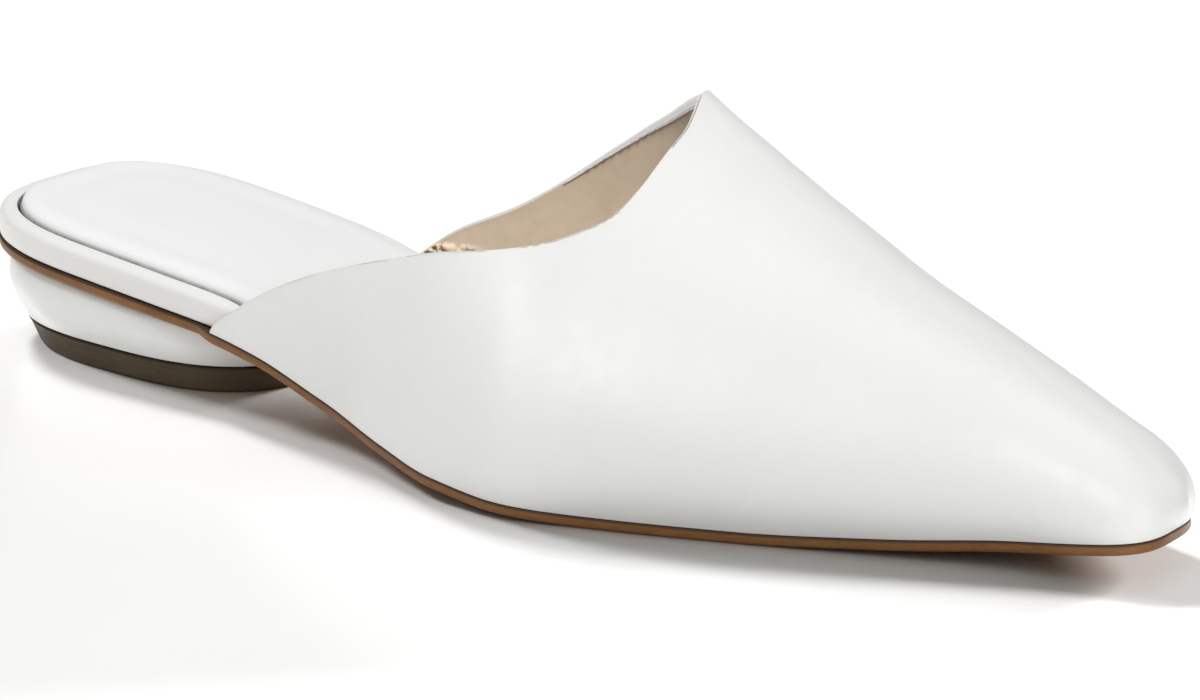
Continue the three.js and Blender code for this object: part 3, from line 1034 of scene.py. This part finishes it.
def sockFace(x, y, distance):
    look = sockLook
    reach = np.clip(distance / look["edgeReach"], 0, 1)
    swell = look["edgeRise"] * np.sqrt(1 - (1 - reach) ** 2.1)
    away, width, depth = look["band"]
    pad = look["padRise"] * smoothStep(distance, look["padStart"], look["padEnd"])
    pad -= depth * np.exp(-(((distance - away) / width) ** 2))
    wave = look["wave"] * np.sin(x * 0.13 + 1) * np.sin(y * 0.21 + x * 0.03) * smoothStep(distance, 3, 9)
    first, last, share = look["lower"]
    return (swell + pad + wave) * (1 - share * smoothStep(x, first, last))


def makeSock():
    base, chamfer = sockLook["base"], sockLook["chamfer"]
    # the side and the rounded edge are dark: painted shade in the groove beside the rand
    rim = [(chamfer, base, 1.0), (0, base + chamfer, 1.0)]
    rim += quarterRound(0, base + sockLook["thickness"], sockLook["edgeRound"], False, (1.0, 0.9))
    return makePlate("sockPad", sockInset, rim, flat, sockFace, sockLook["seamShadeFade"])


sockPad = finishPiece(makeSock(), sockLeatherMaterial, ["sock_pad"])


def makeRand():
    faces = outlineStations(lambda x: 0.0)
    backs = outlineStations(randInset)
    covered = faces[:, 0] <= randLook["end"]
    lines = []
    for stations in (faces[covered], backs[covered]):
        outer, inner = outlineSides(stations, lastShape["upperBase"])
        lines.append(np.vstack([outer[::-1], inner[1:]]))
    face, back = lines
    thickness = np.linalg.norm(back - face, axis=-1)
    away = unit(back - face)

    def at(depth, up):
        return face + away * np.asarray(depth)[..., None] + np.array([0, 0, 1.0]) * up

    height, topRound, dark = (randLook[name] for name in ("height", "topRound", "tone"))
    cutBack, low = randLook["lower"]
    chamfer, r = randLook["chamfer"], randLook["innerRound"]
    edge = np.minimum(topRound, thickness * randLook["roundShare"])
    # round the section: the base, up the face, over the top, down the back
    # the face and the outer rounding carry painted shade
    rows = [(at(thickness - chamfer, 0.0), dark), (at(cutBack, 0.0), dark)]
    for t in np.arange(randLook["rows"] + 1) / randLook["rows"]:
        bulge = randLook["sideBulge"] * math.sin(math.pi * t)
        rows.append((at(-bulge, low + (height - low - topRound) * t), dark))
    for sine, cosine, part in list(quarterTurn(randLook["rows"]))[1:]:
        rows.append((at(edge * (1 - cosine), height - topRound + topRound * sine), dark * (1 - part)))
    for sine, cosine, part in quarterTurn(outlineSteps["round"]):
        rows.append((at(thickness - r + r * sine, height - r + r * cosine), 0.2))
    rows += [(at(thickness, chamfer), dark), rows[0]]
    loop = np.stack([row for row, tone in rows])
    tones = np.array([tone for row, tone in rows])[:, None]
    return meshFromGrids("heelSeatRand", [toned(loop, tones), *endCaps(loop, 0.4)])


heelSeatRand = finishPiece(makeRand(), upperLeatherMaterial, ["rand"])

heelLook = {
    "tipHeight": 4.8,
    "power": 2.8,
    "steps": 144,
    "gap": 0.3,  # between the tip and the block
    "topGap": 0.2,  # between the block and the sole
    "ringStart": 0.3,  # how far over the block's base its plain rings start
    # level up the block, back x, front x, half width
    "block": [
        (0, 4.8, 72.4, 24.8), (0.25, 2.6, 73.4, 25.7), (0.55, 1.3, 74, 26.2),
        (0.85, 1.5, 73.8, 25.9), (1, 2.8, 73, 25.0),
    ],
    "tip": [(0, 8.8, 71.6, 24.2), (1, 5.4, 72.2, 24.6)],
    # lower and upper rounded edge: radius, height as a share of it, steps, first and last tone, which
    # darkens the edges towards the joints
    "blockEdges": [(0.6, 0.6, 4, 0.6, 0.2), (0.6, 0.5, 4, 0.0, 0.4)],
    "tipEdges": [(0.5, 1.0, 4, 0.2, 0.2), (0.3, 1.0, 3, 0.6, 0.6)],
    # shares of the height for the rings between the edges
    "blockRings": (0.05, 0.95, 22),
    "tipRings": (0.15, 0.92, 8),
    "tread": (6.0, 0.4),  # border and depth of the recess under the tip
    "lidReach": 26,  # about how far the middle lies from the edge
    "lidSteps": 10,
    "undersideSteps": 16,
}


def heelRing(outlineAt, share, shrink, heightAt):
    # the heel's outline at a share of a piece's height, drawn in by shrink
    back, front, half = (outlineAt(column, share) for column in (1, 2, 3))
    angle = (np.arange(heelLook["steps"] + 1) + 0.5) / heelLook["steps"] * 2 * math.pi
    cosine, sine = np.cos(angle), np.sin(angle)
    power = 2 / heelLook["power"]
    x = (back + front) / 2 + ((front - back) / 2 - shrink) * np.sign(cosine) * np.abs(cosine) ** power
    y = (half - shrink) * np.sign(sine) * np.abs(sine) ** power
    return np.stack([x, y, heightAt(x, share)], axis=-1)


def heelSide(table, edges, rings, heightAt):
    # rings from the base to the top, with a rounded edge at each end
    outlineAt = smoothTable(table)
    rows, tones = [], []

    def addEdge(end, edge):
        radius, flatten, steps, first, last = edge
        for sine, cosine, part in quarterTurn(steps):
            inward, off = (cosine, 1 - sine) if end else (sine, cosine - 1)
            rows.append(heelRing(outlineAt, end, radius * (1 - inward), heightAt))
            rows[-1][:, 2] -= radius * off * flatten
            tones.append(blendTo(first, last, part))

    addEdge(0.0, edges[0])
    for share in np.linspace(*rings):
        rows.append(heelRing(outlineAt, share, 0.0, heightAt))
        tones.append(0.0)
    addEdge(1.0, edges[1])
    return np.stack(rows), np.array(tones)[:, None]


def closeRing(ring, heightAt, steps=heelLook["lidSteps"]):
    # a lid from a ring to its middle
    centre = ring[:-1].mean(axis=0)
    rows = []
    for k in range(steps + 1):
        row = blendTo(ring, centre, k / steps)
        row[:, 2] = heightAt(row[:, 0], k / steps)
        rows.append(row)
    return np.stack(rows)


def makeHeelBlock():
    base = heelLook["tipHeight"] + heelLook["gap"]

    def heightAt(x, share):
        # the rings between the edges start over the lower one
        start = base + (heelLook["ringStart"] if share else 0)
        return blendTo(start, riseAt(x) - heelLook["topGap"], share)

    side, tones = heelSide(heelLook["block"], heelLook["blockEdges"], heelLook["blockRings"], heightAt)
    # the block's edges and lids are darkened as painted shade under the sole and above the tip
    lower = closeRing(side[0], lambda x, part: base)
    upper = closeRing(side[-1], lambda x, part: heightAt(x, 1))
    return meshFromGrids("heelBlock", [toned(side, tones), toned(lower, 0.6), toned(upper, 0.4)])


heelBlock = finishPiece(makeHeelBlock(), heelLeatherMaterial, ["heel_block"])


def makeHeelTip():
    height = heelLook["tipHeight"]
    border, recess = heelLook["tread"]

    def heightAt(x, share):
        return height * share + 0 * x

    def underside(x, part):
        return recess * smoothStep(part * heelLook["lidReach"], border, border + 1)

    side, tones = heelSide(heelLook["tip"], heelLook["tipEdges"], heelLook["tipRings"], heightAt)
    lower = closeRing(side[0], underside, heelLook["undersideSteps"])
    upper = closeRing(side[-1], lambda x, part: height)
    # the tip is darker at its top joint and round its lower edge
    return meshFromGrids("heelTopPiece", [toned(side, tones), toned(lower, 0.1), toned(upper, 0.6)])


heelTopPiece = finishPiece(makeHeelTip(), heelTipMaterial, ["heel_tip"])

treadLook = {
    "ribRadius": 0.55,
    "pitch": 2.8,
    "margins": (2, 1.5),  # from the recess's ends to the first rib, and at least to the last
    "overlap": 0.5,  # how far the ribs' ends run into the border round them
}


def ribTree():
    # a bar across the shoe at every point, as long as the point's own reach says
    inputs = {"Centres": "Geometry", "Rib radius": "Float", "Rib material": "Material"}
    tree, given = nodeGroup("treadRibs", inputs)
    line = addNode(tree, "GeometryNodeCurvePrimitiveLine", {"Start": (0, -1, 0), "End": (0, 1, 0)})
    bar = addTube(tree, line.outputs[0], given["Rib radius"], 12)
    sockets = {"Points": given["Centres"], "Instance": bar, "Scale": readVector(tree, "reach")}
    return placeCopies(tree, sockets, given["Rib material"])


treadRibs = ribTree()


def makeRibs(name, centres, halfWidths, material):
    reach = np.ones((len(centres), 3))
    reach[:, 1] = halfWidths * mm
    piece = pointsPiece(name, centres, [], "reach", reach)
    values = {"Rib radius": treadLook["ribRadius"] * mm, "Rib material": material}
    return growNodes(piece, treadRibs, values)


def ribPlaces(first, last):
    start, end = treadLook["margins"]
    return np.arange(first + start, last - end, treadLook["pitch"])


def makeForefootRibs():
    # flush with the sole's underside, inside its recess
    first, last, border = soleLook["treadField"][:3]
    x = ribPlaces(first, last)
    flatEdge = soleLook["foreMargin"] - soleLook["lowerRound"]
    halfWidths = halfAt(x) + flatEdge - border + treadLook["overlap"]
    centres = np.stack([x, middleAt(x), riseAt(x) + treadLook["ribRadius"]], axis=-1)
    return makeRibs("forefootRibs", centres, halfWidths, outsoleMaterial)


def makeHeelRibs():
    back, front, half = heelLook["tip"][0][1:]
    keep = 1 - heelLook["tread"][0] / heelLook["lidReach"]
    length = (front - back) / 2 * keep
    x = ribPlaces(-length, length)
    power = heelLook["power"]
    halfWidths = half * keep * (1 - np.abs(x / length) ** power) ** (1 / power) + treadLook["overlap"]
    centres = np.stack([x + (back + front) / 2, 0 * x, 0 * x + treadLook["ribRadius"]], axis=-1)
    return makeRibs("heelRibs", centres, halfWidths, heelTipMaterial)


forefootRibs = finishPiece(makeForefootRibs(), outsoleMaterial)
heelRibs = finishPiece(makeHeelRibs(), heelTipMaterial)

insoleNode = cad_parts["insole"]
insoleNode.data.materials.clear()
insoleNode.data.materials.append(boardMaterial())

studio = {
    "floorSize": 8.0,
    "floorColour": (0.97, 0.97, 0.965),
    "world": (1.0, 0.985, 0.95),
    "worldStrength": 0.21,
    # where each softbox stands, its size and power, what it lights, and whether it gives
    # plain light and whether it shows as a shine; all of them face the origin
    "lights": {
        "topSoftbox": ((-0.3, 0.15, 1.25), 0.9, 9.6, "shoe", True, False),
        "highFill": ((0.05, -0.5, 1.1), 0.6, 4.1, "shoe", True, False),
        "ridgeShine": ((0.02, -1.05, 0.58), 0.4, 2.8, "shoe", False, True),
        "lowFill": ((0.95, -0.65, 0.35), 0.9, 4.3, "shoe", True, True),
        "throatLight": ((0.45, -0.45, 1.05), 0.35, 24.0, "lining", True, False),
    },
    # suns that light only the floor, two from the heel's side and one from the far side:
    # strength, width in degrees, and the way the light travels
    "floorSuns": [
        (2.16, 11, (0.85, 0.04, -0.53)),
        (2.08, 10, (0.59, -0.23, -0.77)),
        (6.15, 12, (-0.13, -0.96, -0.26)),
    ],
}
cameraView = {
    "azimuth": 41.0845,  # degrees round the shoe from its outer side, towards the toe
    "elevation": 17.6428,
    "roll": -0.3928,
    "distance": 1.21114,  # metres from the aim
    "lens": 201.445,
    "aim": (137.55, 2.72, 17.9),  # on the last
}


def addLamp(name, kind, power, direction, lit, **settings):
    lamp = bpy.data.lights.new(name, kind)
    lamp.energy = power
    for setting, value in settings.items():
        setattr(lamp, setting, value)
    holder = placeObject(name, lamp)
    holder.rotation_mode = "QUATERNION"
    holder.rotation_quaternion = Vector(direction).to_track_quat("-Z", "Y")
    holder.light_linking.receiver_collection = lit
    return holder


def makeStudio():
    half = studio["floorSize"] / 2
    mesh = bpy.data.meshes.new("floor")
    corners = [(-half, -half, 0), (half, -half, 0), (half, half, 0), (-half, half, 0)]
    mesh.from_pydata(corners, [], [(0, 1, 2, 3)])
    floor = placeObject("floor", mesh)
    material, tree, shader, place = newMaterial("paleFloor", {"Specular IOR Level": 0.5})
    shader.inputs["Base Color"].default_value = (*studio["floorColour"], 1)
    cloud = addNoise(tree, place, 60, 2.0)
    tree.links.new(addRange(tree, cloud, 0.3, 0.7, 0.2, 0.26), shader.inputs["Roughness"])
    mesh.materials.append(material)
    floor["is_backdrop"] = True
    world = bpy.data.worlds.new("studio")
    bpy.context.scene.world = world
    world.use_nodes = True
    background = world.node_tree.nodes["Background"]
    background.inputs["Color"].default_value = (*studio["world"], 1)
    background.inputs["Strength"].default_value = studio["worldStrength"]
    groups = {}
    for name, members in (("shoe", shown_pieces()), ("lining", [upperLining]), ("stage", [floor])):
        groups[name] = bpy.data.collections.new(name)
        for member in members:
            groups[name].objects.link(member)
    for name, (place, size, power, lit, shades, shines) in studio["lights"].items():
        lamp = addLamp(name, "AREA", power, -Vector(place), groups[lit], shape="DISK", size=size)
        lamp.location = place
        lamp.visible_diffuse = shades
        lamp.visible_glossy = shines
    for strength, angle, direction in studio["floorSuns"]:
        addLamp("floorSun", "SUN", strength, direction, groups["stage"], angle=math.radians(angle))


def makeCamera():
    turn, lift, roll = (math.radians(cameraView[k]) for k in ("azimuth", "elevation", "roll"))
    back = Vector((math.sin(turn) * math.cos(lift), -math.cos(turn) * math.cos(lift), math.sin(lift)))
    level = Vector((math.cos(turn), math.sin(turn), 0))
    up = back.cross(level)
    right = level * math.cos(roll) + up * math.sin(roll)
    up = back.cross(right)
    data = bpy.data.cameras.new("camera")
    data.lens = cameraView["lens"]
    data.clip_start = 0.05
    camera = placeObject("camera", data)
    place = Matrix((right, up, back)).transposed().to_4x4()
    place.translation = Vector(toFrame(cameraView["aim"])) + back * cameraView["distance"]
    camera.matrix_world = place
    bpy.context.scene.camera = camera


makeStudio()
makeCamera()
bpy.context.scene.view_settings.view_transform = "Standard"
bpy.context.scene.view_settings.look = "None"
print("studio ready")
